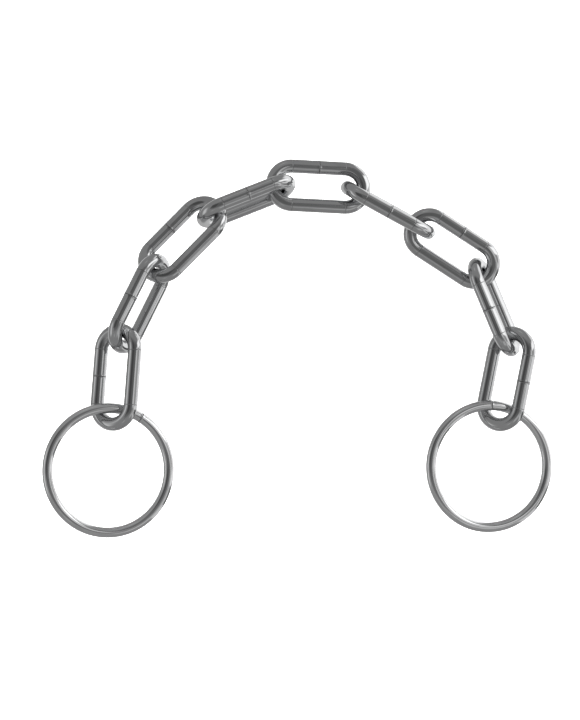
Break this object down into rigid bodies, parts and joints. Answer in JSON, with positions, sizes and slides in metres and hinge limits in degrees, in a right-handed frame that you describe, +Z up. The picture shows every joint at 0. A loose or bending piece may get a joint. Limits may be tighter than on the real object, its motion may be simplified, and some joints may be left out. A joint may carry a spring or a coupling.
{
  "type": "short length of steel chain with end rings",
  "caption": "Short length of bright steel chain: long oval links joined end to end, with a larger round ring at each end, lying in an open arch.",
  "frame": {"origin": "centre of the bounding box, on the floor under the chain", "axes": "+X across the arch from the left ring to the right ring, +Y from the rings towards the crown of the arch, +Z up"},
  "size_m": [0.2998, 0.2196, 0.0299],
  "materials": {
    "link_steel": "polished bright round wire, butt welded",
    "ring_steel": "polished bright round wire, butt welded"
  },
  "bodies": {
    "link_1": {"link_1": "link_steel"},
    "link_2": {"link_2": "link_steel"},
    "link_3": {"link_3": "link_steel"},
    "link_4": {"link_4": "link_steel"},
    "link_5": {"link_5": "link_steel"},
    "link_6": {"link_6": "link_steel"},
    "link_7": {"link_7": "link_steel"},
    "link_8": {"link_8": "link_steel"},
    "link_9": {"link_9": "link_steel"},
    "ring_left": {"ring_left": "ring_steel"},
    "ring_right": {"ring_right": "ring_steel"}
  },
  "joints": [
    {"name": "link_4_swing", "type": "hinge", "parent": "link_5", "child": "link_4", "pos_m": [-0.0062, 0.0946, 0.01297], "axis": [0.0041, 0.0174, 0.9998], "range_deg": [-84, 36]},
    {"name": "link_3_swing", "type": "hinge", "parent": "link_4", "child": "link_3", "pos_m": [-0.05912, 0.07291, 0.014], "axis": [0.4181, -0.3405, -0.8422], "range_deg": [-36.5, 83.5]},
    {"name": "link_2_swing", "type": "hinge", "parent": "link_3", "child": "link_2", "pos_m": [-0.08097, 0.05029, 0.0123], "axis": [-0.4181, 0.3405, 0.8422], "range_deg": [-78, 42]},
    {"name": "link_1_swing", "type": "hinge", "parent": "link_2", "child": "link_1", "pos_m": [-0.10673, -0.0026, 0.01155], "axis": [0.6352, -0.0345, -0.7716], "range_deg": [-38, 82]},
    {"name": "link_6_swing", "type": "hinge", "parent": "link_5", "child": "link_6", "pos_m": [0.02529, 0.09378, 0.01285], "axis": [0.0041, 0.0174, 0.9998], "range_deg": [-34, 86]},
    {"name": "link_7_swing", "type": "hinge", "parent": "link_6", "child": "link_7", "pos_m": [0.07535, 0.06814, 0.0127], "axis": [0.1645, 0.2321, -0.9587], "range_deg": [-64.5, 55.5]},
    {"name": "link_8_swing", "type": "hinge", "parent": "link_7", "child": "link_8", "pos_m": [0.10206, 0.05145, 0.01324], "axis": [-0.1645, -0.2321, 0.9587], "range_deg": [-25, 95]},
    {"name": "link_9_swing", "type": "hinge", "parent": "link_8", "child": "link_9", "pos_m": [0.12383, -0.00048, 0.0141], "axis": [0.6199, -0.034, -0.784], "range_deg": [-93.5, 26.5]},
    {"name": "ring_left_swing", "type": "hinge", "parent": "link_1", "child": "ring_left", "pos_m": [-0.10892, -0.03402, 0.01115], "axis": [-0.6352, 0.0345, 0.7716], "range_deg": [-60, 60]},
    {"name": "ring_right_swing", "type": "hinge", "parent": "link_9", "child": "ring_right", "pos_m": [0.11812, -0.03129, 0.01092], "axis": [-0.6199, 0.034, 0.784], "range_deg": [-60, 60]}
  ]
}
